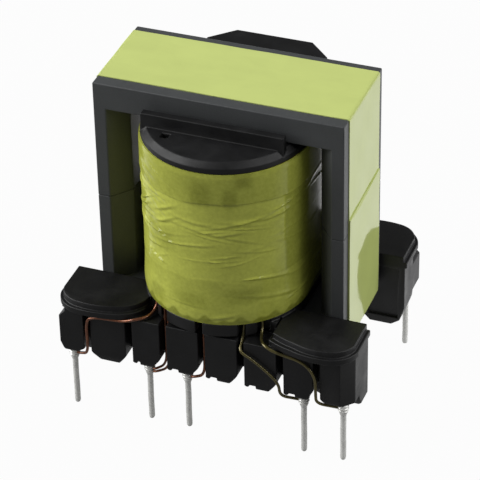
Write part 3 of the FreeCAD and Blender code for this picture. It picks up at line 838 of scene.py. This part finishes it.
class TRANSFORMER_OT_joints(PieceOperator, bpy.types.Operator):
    """Solder joints over the turns of wire"""

    bl_idname = "transformer.joints"
    bl_label = "Solder joints"

    def execute(self, context):
        sizes = context.scene.transformer_sizes
        for row in ROWS:
            for place in PLACES:
                node = "joint_%s_%d" % (row, place)
                points = joint_surface(row, place, sizes.turn_height / MM, sizes.wire_turns)
                mesh = skin(node, points, close_u=True, caps=True)
                settle("soldered_" + node, mesh, "solder", node)
        return {"FINISHED"}


# Leads, of which the rear ones first run through a groove: its gap to the winding, and its length

GROOVE_GAP, GROOVE_RUN = 0.05, 1.5


def lead_routes():
    """Routes of the leads, given in (along the row, out from the middle plane, height)."""
    # Pin spacing and the first pin's place, and the distances out of the corner leads, of the
    # middle ones and along the comb's face
    pitch, end = 4.0, -14.0
    near, far, slip = 8.75, 9.64, 11.15
    # Heights of the winding's foot, of the wing plate's underside and of the bosses' underside
    wind, plate, hub = COVER_LO[2], 12.3, 6.9
    # Heights of a lead over and under the plate's underside and out of a slot, and the comb's own
    high, low, leave, comb = plate + 0.25, plate - 0.25, hub - 0.08, 5.9
    slots = {1: -12.15, 3: -4.15, 4: -0.15, 5: 3.85, 6: 7.85, 7: 11.55}

    def under(place, side):
        """Under the boss, from its side to where the pin comes out of it."""
        x = end + pitch * (place - 1)
        return [(x + side * 0.82, 10.39, hub - 0.39), (x + side * 0.34, 10.15, hub - 0.58),
                (x - side * 0.12, 9.9, hub - 0.66)]

    def corner(side):
        """Down from the winding and outwards over the plate, at the left or right."""
        return [(side * 5.4, near, wind), (side * 5.4, near, high + 0.78),
                (side * 5.55, near + 0.63, high + 0.15), (side * 5.85, near + 1.65, high + 0.05)]

    def drop(place, shift, out, down):
        """Straight down from the winding through the slot beside the boss."""
        lower = [(a, b, c - down) for a, b, c in under(place, 1)]
        return [(slots[place] + shift, out, wind), (slots[place] + shift, out, hub + 2.5),
                (slots[place] + shift, out, leave - down)] + lower

    return {
        "a": corner(-1) + [
            (-6.88, slip + 0.05, high), (slots[1] + 4, slip + 0.05, low),
            (slots[1] + 0.88, slip, low - 0.18), (slots[1], slip - 0.07, low - 0.94),
            (slots[1], slip - 0.45, leave + 0.15)] + under(1, 1),
        "b": drop(3, -0.17, far, 0.0),
        "c": drop(3, 0.17, far + 0.05, 0.35),
        "d": drop(4, 0.0, 10.1, 0.0),
        "e": [
            (slots[5], far, wind), (slots[5], far, plate + 0.65),
            (slots[5], far + 0.6, plate - 0.06 * comb), (slots[5], slip, plate - 0.16 * comb),
            (slots[5] + 1.2, slip + 0.05, plate - 0.25 * comb),
            (slots[5] + 2.8, slip + 0.05, plate - 0.45 * comb),
            (slots[6], slip, plate - 0.65 * comb), (slots[6], slip - 0.3, leave)] + under(7, -1),
        "f": corner(1) + [
            (6.52, slip + 0.05, high), (slots[7] - 3.68, slip + 0.05, low),
            (slots[7] - 1.28, slip, low - 0.06 * comb), (slots[7], slip, plate - 0.35 * comb),
            (slots[7], slip - 0.07, plate - 0.72 * comb), (slots[7], slip - 0.3, leave)]
        + under(8, -1),
    }


class TRANSFORMER_OT_leads(PieceOperator, bpy.types.Operator):
    """Enamelled leads from the winding to the pins"""

    bl_idname = "transformer.leads"
    bl_label = "Leads"

    def execute(self, context):
        sizes = context.scene.transformer_sizes
        for row, side in ROWS.items():
            for letter, route in lead_routes().items():
                node = "lead_%s_%s" % (row, letter)
                # The rear row has no second lead of a pair
                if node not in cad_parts:
                    continue
                paired = row == "front" and letter in "bc"
                straw = row == "front" and letter in "ef"
                radius = (sizes.strand if paired else sizes.wire) / MM
                points = np.array(route) * (-side, side, 1)
                if row == "rear":
                    points[0, 2] -= radius + GROOVE_GAP
                    points = np.vstack([points[0] - (0, side * GROOVE_RUN, 0), points])
                mesh = skin(node, hose(route_line(points), radius), close_u=True, caps=True)
                slot = "pale_wire" if straw else "copper_wire"
                settle("wire_%s_%s" % (row, letter), mesh, slot, node)
        return {"FINISHED"}


class TRANSFORMER_OT_windings(PieceOperator, bpy.types.Operator):
    """Finishes of the windings and tapes inside the cover tape"""

    bl_idname = "transformer.windings"
    bl_label = "Inner windings"

    def execute(self, context):
        for name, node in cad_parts.items():
            if name.startswith(("winding_", "tape_layer_", "margin_tape_")):
                slot = "copper" if name.startswith("winding_") else "inner_tape"
                node.data.materials.clear()
                node.data.materials.append(finishes()[slot])
        return {"FINISHED"}


# Stage, with the camera fitted to the photograph

CAMERA_AZIMUTH = math.radians(21.085)
CAMERA_ELEVATION = math.radians(34.415)
CAMERA_ROLL = math.radians(-1.246)
CAMERA_AIM = Vector((0.860, -2.476, 17.977))
CAMERA_DISTANCE = 255.0
CAMERA_LENS = 197.23
SENSOR = 36.0
# What the lamps aim at, how far off they are in metres, and the plain light from all round
LAMP_AIM = Vector((0, 0, 18)) * MM
LAMP_DISTANCE = 0.5
AMBIENT = 0.12
# Floor: how far it reaches in metres, how far it lies under the pins, how white the camera sees it
FLOOR_REACH, FLOOR_DROP, FLOOR_WHITENESS = 1.5, 0.02, 0.97
# Its paleness, the strength up to which it glows behind the object in glossy rays as a painted
# reflection, and the y from and to which that glow grows
FLOOR_PALENESS, FLOOR_REFLECTION_GLOW, FLOOR_FROM, FLOOR_TO = 0.22, 1.25, -16, 12


def facing(azimuth, elevation):
    """Unit vector from the object towards a place given by azimuth and elevation."""
    return Vector((math.sin(azimuth) * math.cos(elevation),
                   -math.cos(azimuth) * math.cos(elevation), math.sin(elevation)))


def place_camera():
    """Camera where the photograph was taken from, rolled by the photograph's own tilt."""
    back = facing(CAMERA_AZIMUTH, CAMERA_ELEVATION)
    right = Vector((math.cos(CAMERA_AZIMUTH), math.sin(CAMERA_AZIMUTH), 0))
    up = back.cross(right)
    c, s = math.cos(CAMERA_ROLL), math.sin(CAMERA_ROLL)
    axes = Matrix((right * c + up * s, up * c - right * s, back)).transposed()
    data = bpy.data.cameras.new("camera")
    data.sensor_width = SENSOR
    data.lens = CAMERA_LENS
    data.clip_start, data.clip_end = 0.01, 10.0
    camera = bpy.data.objects.new("camera", data)
    bpy.context.scene.collection.objects.link(camera)
    eye = (CAMERA_AIM + back * CAMERA_DISTANCE) * MM
    camera.matrix_world = Matrix.Translation(eye) @ axes.to_4x4()
    bpy.context.scene.camera = camera


def soft_box(name, azimuth, elevation, width, height, level):
    """Area lamp of this width and height in metres, which aims at the object.

    Level is what it adds to a white surface that faces it."""
    data = bpy.data.lights.new(name, "AREA")
    data.shape = "RECTANGLE"
    data.size, data.size_y = width, height
    data.energy = level * math.pi ** 2 * LAMP_DISTANCE ** 2
    lamp = bpy.data.objects.new(name, data)
    bpy.context.scene.collection.objects.link(lamp)
    way = facing(math.radians(azimuth), math.radians(elevation))
    lamp.location = LAMP_AIM + way * LAMP_DISTANCE
    lamp.rotation_mode = "QUATERNION"
    lamp.rotation_quaternion = way.to_track_quat("Z", "Y")


def rays(tree, kind):
    """1 for the rays of this kind, such as Camera or Glossy, and 0 for the others."""
    return tree.nodes.new("ShaderNodeLightPath").outputs["Is %s Ray" % kind]


def white_world():
    """Backdrop that the camera sees white, and a plain dim light from all round on the object."""
    world = bpy.data.worlds.new("backdrop")
    bpy.context.scene.world = world
    world.use_nodes = True
    tree = world.node_tree
    shown = tree.nodes["Background"]
    light = tree.nodes.new("ShaderNodeBackground")
    for backdrop, strength in ((shown, 1.0), (light, AMBIENT)):
        backdrop.inputs["Color"].default_value = (1, 1, 1, 1)
        backdrop.inputs["Strength"].default_value = strength
    mix = tree.nodes.new("ShaderNodeMixShader")
    tree.links.new(rays(tree, "Camera"), mix.inputs[0])
    tree.links.new(light.outputs[0], mix.inputs[1])
    tree.links.new(shown.outputs[0], mix.inputs[2])
    tree.links.new(mix.outputs[0], tree.nodes["World Output"].inputs["Surface"])


def pale_floor():
    """Plain pale floor under the pins. Glossy rays see it glow as a painted reflection, paler
    behind the object than in front.
    """
    corners = np.array([(-1, -1, 0), (1, -1, 0), (1, 1, 0), (-1, 1, 0)]) * FLOOR_REACH
    mesh = bpy.data.meshes.new("floor")
    mesh.from_pydata(corners.tolist(), [], [(0, 1, 2, 3)])
    floor = bpy.data.objects.new("floor", mesh)
    bpy.context.scene.collection.objects.link(floor)
    floor.location.z = -FLOOR_DROP * MM
    s = Shader("pale_floor", Base_Color=(FLOOR_PALENESS,) * 3 + (1,), Roughness=0.8,
               Specular_IOR_Level=0.0)
    parts = s.node("ShaderNodeSeparateXYZ")
    s.link(s.place, parts.inputs[0])
    behind = s.ranged(parts.outputs["Y"], FLOOR_FROM * MM, FLOOR_TO * MM)
    shown = s.maths("MULTIPLY", rays(s.tree, "Camera"), FLOOR_WHITENESS)
    # Painted reflection: glossy rays see the floor glow, more so towards the back
    painted_reflection = s.maths("MULTIPLY", rays(s.tree, "Glossy"), behind)
    reflection_glow = s.node("ShaderNodeEmission")
    s.link(s.ranged(painted_reflection, 0, 1, 1.0, FLOOR_REFLECTION_GLOW), reflection_glow.inputs["Strength"])
    mix = s.node("ShaderNodeMixShader")
    s.link(s.maths("ADD", shown, painted_reflection), mix.inputs[0])
    s.link(s.bsdf.outputs[0], mix.inputs[1])
    s.link(reflection_glow.outputs[0], mix.inputs[2])
    s.link(mix.outputs[0], s.tree.nodes["Material Output"].inputs["Surface"])
    mesh.materials.append(s.material)


class TRANSFORMER_OT_stage(PieceOperator, bpy.types.Operator):
    """Camera, soft light and a plain pale floor"""

    bl_idname = "transformer.stage"
    bl_label = "Stage"

    def execute(self, context):
        context.scene.view_settings.view_transform = "Standard"
        place_camera()
        white_world()
        pale_floor()
        soft_box("right", azimuth=104, elevation=38, width=0.5, height=0.5, level=0.86)
        soft_box("left", azimuth=-70, elevation=30, width=0.45, height=0.45, level=1.28)
        return {"FINISHED"}


STEPS = (TRANSFORMER_OT_stage, TRANSFORMER_OT_core, TRANSFORMER_OT_core_tape,
         TRANSFORMER_OT_bobbin, TRANSFORMER_OT_cover_tape, TRANSFORMER_OT_windings,
         TRANSFORMER_OT_leads, TRANSFORMER_OT_pins, TRANSFORMER_OT_joints)


class TRANSFORMER_PT_panel(bpy.types.Panel):
    """Sizes, colours and one button for each group of pieces."""

    bl_label = "Transformer"
    bl_idname = "TRANSFORMER_PT_panel"
    bl_space_type = "VIEW_3D"
    bl_region_type = "UI"
    bl_category = "Transformer"

    def draw(self, context):
        for group in (context.scene.transformer_sizes, context.scene.transformer_colours):
            box = self.layout.box()
            for key in group.__annotations__:
                box.prop(group, key)
        for step in STEPS:
            self.layout.operator(step.bl_idname)


CLASSES = (TransformerSizes, TransformerColours) + STEPS + (TRANSFORMER_PT_panel,)


def register():
    """Adds the classes to Blender, and the sizes and colours to its scenes."""
    for cls in CLASSES:
        bpy.utils.register_class(cls)
    bpy.types.Scene.transformer_sizes = PointerProperty(type=TransformerSizes)
    bpy.types.Scene.transformer_colours = PointerProperty(type=TransformerColours)


def unregister():
    """Takes out what register adds."""
    del bpy.types.Scene.transformer_colours
    del bpy.types.Scene.transformer_sizes
    for cls in reversed(CLASSES):
        bpy.utils.unregister_class(cls)


def main():
    register()
    for step in STEPS:
        group, name = step.bl_idname.split(".")
        getattr(getattr(bpy.ops, group), name)()


if __name__ == "__main__":
    main()
